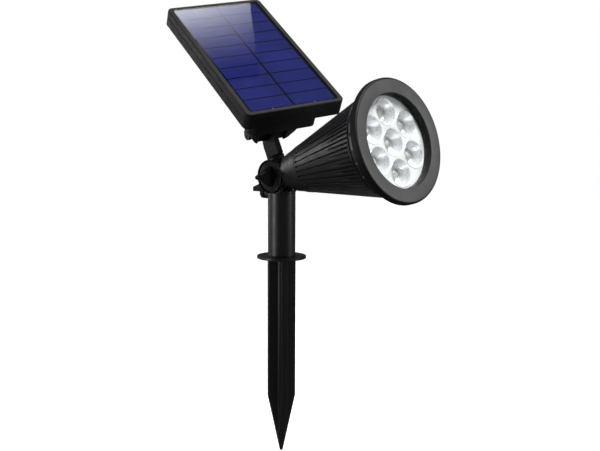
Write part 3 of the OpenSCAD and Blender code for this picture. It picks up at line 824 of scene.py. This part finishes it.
ROUNDED = {
    "ground_stake": 0.35, "pole": 0.3, "hub": 0.35, "swivel_nut": 0.15, "tilt_nut": 0.2,
    "panel_arm": 0.35, "panel_bracket": 0.4,
    "hinge_bolt": 0.4, "hinge_nut": 0.25, "panel_tray": 0.3, "bracket_screws": 0.12,
    "tray_screws": 0.12, "battery_cover": 0.3, "battery_cover_screws": 0.12, "power_button": 0.4,
    "button_seal": 0.15, "panel_cable_gland": 0.25, "lamp_cable_gland": 0.25, "reflector_plate": 0.12,
    "front_lens": 0.15,
}
FINISH = {
    "panel_tray": "panel_plastic", "battery_cover": "panel_plastic", "panel_arm": "panel_plastic",
    "hinge_bolt": "blackened_steel", "hinge_nut": "blackened_steel",
}
for node, bevel_mm in ROUNDED.items():
    refined(node, bevel_mm, FINISH.get(node))

for node, obj in NODES.items():
    if not obj.hide_render:
        obj.data.materials.clear()
        obj.data.materials.append(MATERIALS[slot_of_node(node)])


# ---- stage: floor, light and camera ------------------------------------------------------

AZIMUTH = -45.83
ELEVATION = 7.51
ROLL = 0.25
CAMERA_SIDE = 13.3
CAMERA_BACK = 762.13
CAMERA_UP = 124.27
LENS = 63.54
SENSOR = 36


def camera():
    data = bpy.data.cameras.new("camera")
    data.lens = LENS
    data.sensor_width = SENSOR
    data.clip_start = 0.01
    made = bpy.data.objects.new("camera", data)
    bpy.context.scene.collection.objects.link(made)
    place = turn("Z", AZIMUTH) @ shift(CAMERA_SIDE, -CAMERA_BACK, CAMERA_UP)
    place.translation *= MM
    made.matrix_world = place @ turn("X", 90 - ELEVATION) @ turn("Z", ROLL)
    bpy.context.scene.camera = made
    return made


def floor():
    """Pale floor that fades out far from the object."""
    radius, fade_from, fade_share = 3.2, 0.5, 0.85
    bm = bmesh.new()
    bmesh.ops.create_circle(bm, cap_ends=True, segments=96, radius=radius)
    data = bpy.data.meshes.new("floor")
    bm.to_mesh(data)
    bm.free()
    made = bpy.data.objects.new("floor", data)
    bpy.context.scene.collection.objects.link(made)
    made.location.z = FLOOR_Z * MM
    pale = bpy.data.materials.new("pale_floor")
    pale.use_nodes = True
    tree = pale.node_tree
    tree.nodes.clear()
    output = add(tree, "OutputMaterial")
    where = add(tree, "TexCoord").outputs["Object"]
    far = add(tree, "VectorMath", {0: where}, operation="LENGTH").outputs["Value"]
    fade = spread(tree, far, 0, 1, fade_from, radius * fade_share)
    card = add(tree, "BsdfDiffuse", {"Color": rgb(0.86, 0.86, 0.86)})
    glow = add(tree, "Emission", {"Color": rgb(1, 1, 1), "Strength": 0.85})
    lit = add(tree, "AddShader", {0: card.outputs[0], 1: glow.outputs[0]})
    clear = add(tree, "BsdfTransparent")
    mix = add(tree, "MixShader", {0: fade, 1: lit.outputs[0], 2: clear.outputs[0]})
    tree.links.new(mix.outputs[0], output.inputs["Surface"])
    data.materials.append(pale)
    made.visible_diffuse = False
    made.visible_glossy = False


def around(side, height, distance):
    """Offset of distance metres, side degrees to the right of the camera and height degrees up."""
    a = math.radians(AZIMUTH - 90 + side)
    h = math.radians(height)
    return Vector((math.cos(a) * math.cos(h), math.sin(a) * math.cos(h), math.sin(h))) * distance


def softbox(name, side, height, distance, width, tall, power):
    """White area light that looks at the hub. Angles in degrees, lengths in metres, power in watts."""
    data = bpy.data.lights.new(name, "AREA")
    data.shape = "RECTANGLE"
    data.size = width
    data.size_y = tall
    data.energy = power
    made = bpy.data.objects.new(name, data)
    bpy.context.scene.collection.objects.link(made)
    target = Vector((0, 0, HUB_Z * MM))
    made.location = target + around(side, height, distance)
    made.rotation_euler = (made.location - target).to_track_quat("Z", "Y").to_euler()


def panel_glare(camera_place):
    """Overhead softbox that only gloss sees, placed where the panel's cover mirrors it.

    Its right edge falls across the cover from the top right, and it fades downwards and to the right."""
    distance, left_strength, right_strength, fade_power = 0.7, 10, 3, 2.3
    # Where its corners are mirrored, in the panel's frame, from the far left one round to the near left
    corners = ((-60, 118), (34, 112), (-8, 12), (-60, 12))
    normal = (PANEL.to_3x3() @ Vector((0, 0, 1))).normalized()
    bm = bmesh.new()
    uv = bm.loops.layers.uv.new("UVMap")
    verts = []
    for x, y in corners:
        point = (PANEL @ Vector((x, y, FACE_Z))) * MM
        seen = (point - camera_place).normalized()
        verts.append(bm.verts.new(point + seen.reflect(normal) * distance))
    face = bm.faces.new(verts)
    for loop, place in zip(face.loops, ((0, 1), (1, 1), (1, 0), (0, 0))):
        loop[uv].uv = place
    data = bpy.data.meshes.new("glare_card")
    bm.to_mesh(data)
    bm.free()
    made = bpy.data.objects.new("glare_card", data)
    bpy.context.scene.collection.objects.link(made)
    glow = bpy.data.materials.new("glare_card")
    glow.use_nodes = True
    tree = glow.node_tree
    tree.nodes.clear()
    place = add(tree, "SeparateXYZ", {0: add(tree, "TexCoord").outputs["UV"]})
    upward = add(tree, "Math", {0: place.outputs["Y"], 1: fade_power}, operation="POWER").outputs[0]
    sideways = spread(tree, place.outputs["X"], left_strength, right_strength, 0, 1)
    strength = add(tree, "Math", {0: upward, 1: sideways}, operation="MULTIPLY").outputs[0]
    light = add(tree, "Emission", {"Strength": strength})
    tree.links.new(light.outputs[0], add(tree, "OutputMaterial").inputs["Surface"])
    data.materials.append(glow)
    made.visible_camera = False
    made.visible_diffuse = False
    made.visible_shadow = False


def world():
    """White behind the object, and a dim even fill for its shading."""
    made = bpy.data.worlds.new("studio")
    bpy.context.scene.world = made
    made.use_nodes = True
    tree = made.node_tree
    tree.nodes.clear()
    seen = add(tree, "Background", {"Color": rgb(1, 1, 1), "Strength": 1.0})
    fill = add(tree, "Background", {"Color": rgb(0.95, 0.97, 1), "Strength": 0.1})
    ray = add(tree, "LightPath").outputs["Is Camera Ray"]
    mix = add(tree, "MixShader", {0: ray, 1: fill.outputs[0], 2: seen.outputs[0]})
    tree.links.new(mix.outputs[0], add(tree, "OutputWorld").inputs["Surface"])


view = camera()
floor()
world()
softbox("left_softbox", -121, 5, 1.4, 0.44, 0.46, 3)
softbox("left_strip", -66, -7, 1.1, 0.16, 0.4, 4.4)
softbox("right_softbox", 78, 10, 1.1, 0.2, 0.5, 3)
softbox("lamp_softbox", 50, 62, 1.1, 0.4, 0.4, 19)
panel_glare(view.matrix_world.translation)
bpy.context.scene.view_settings.view_transform = "Standard"
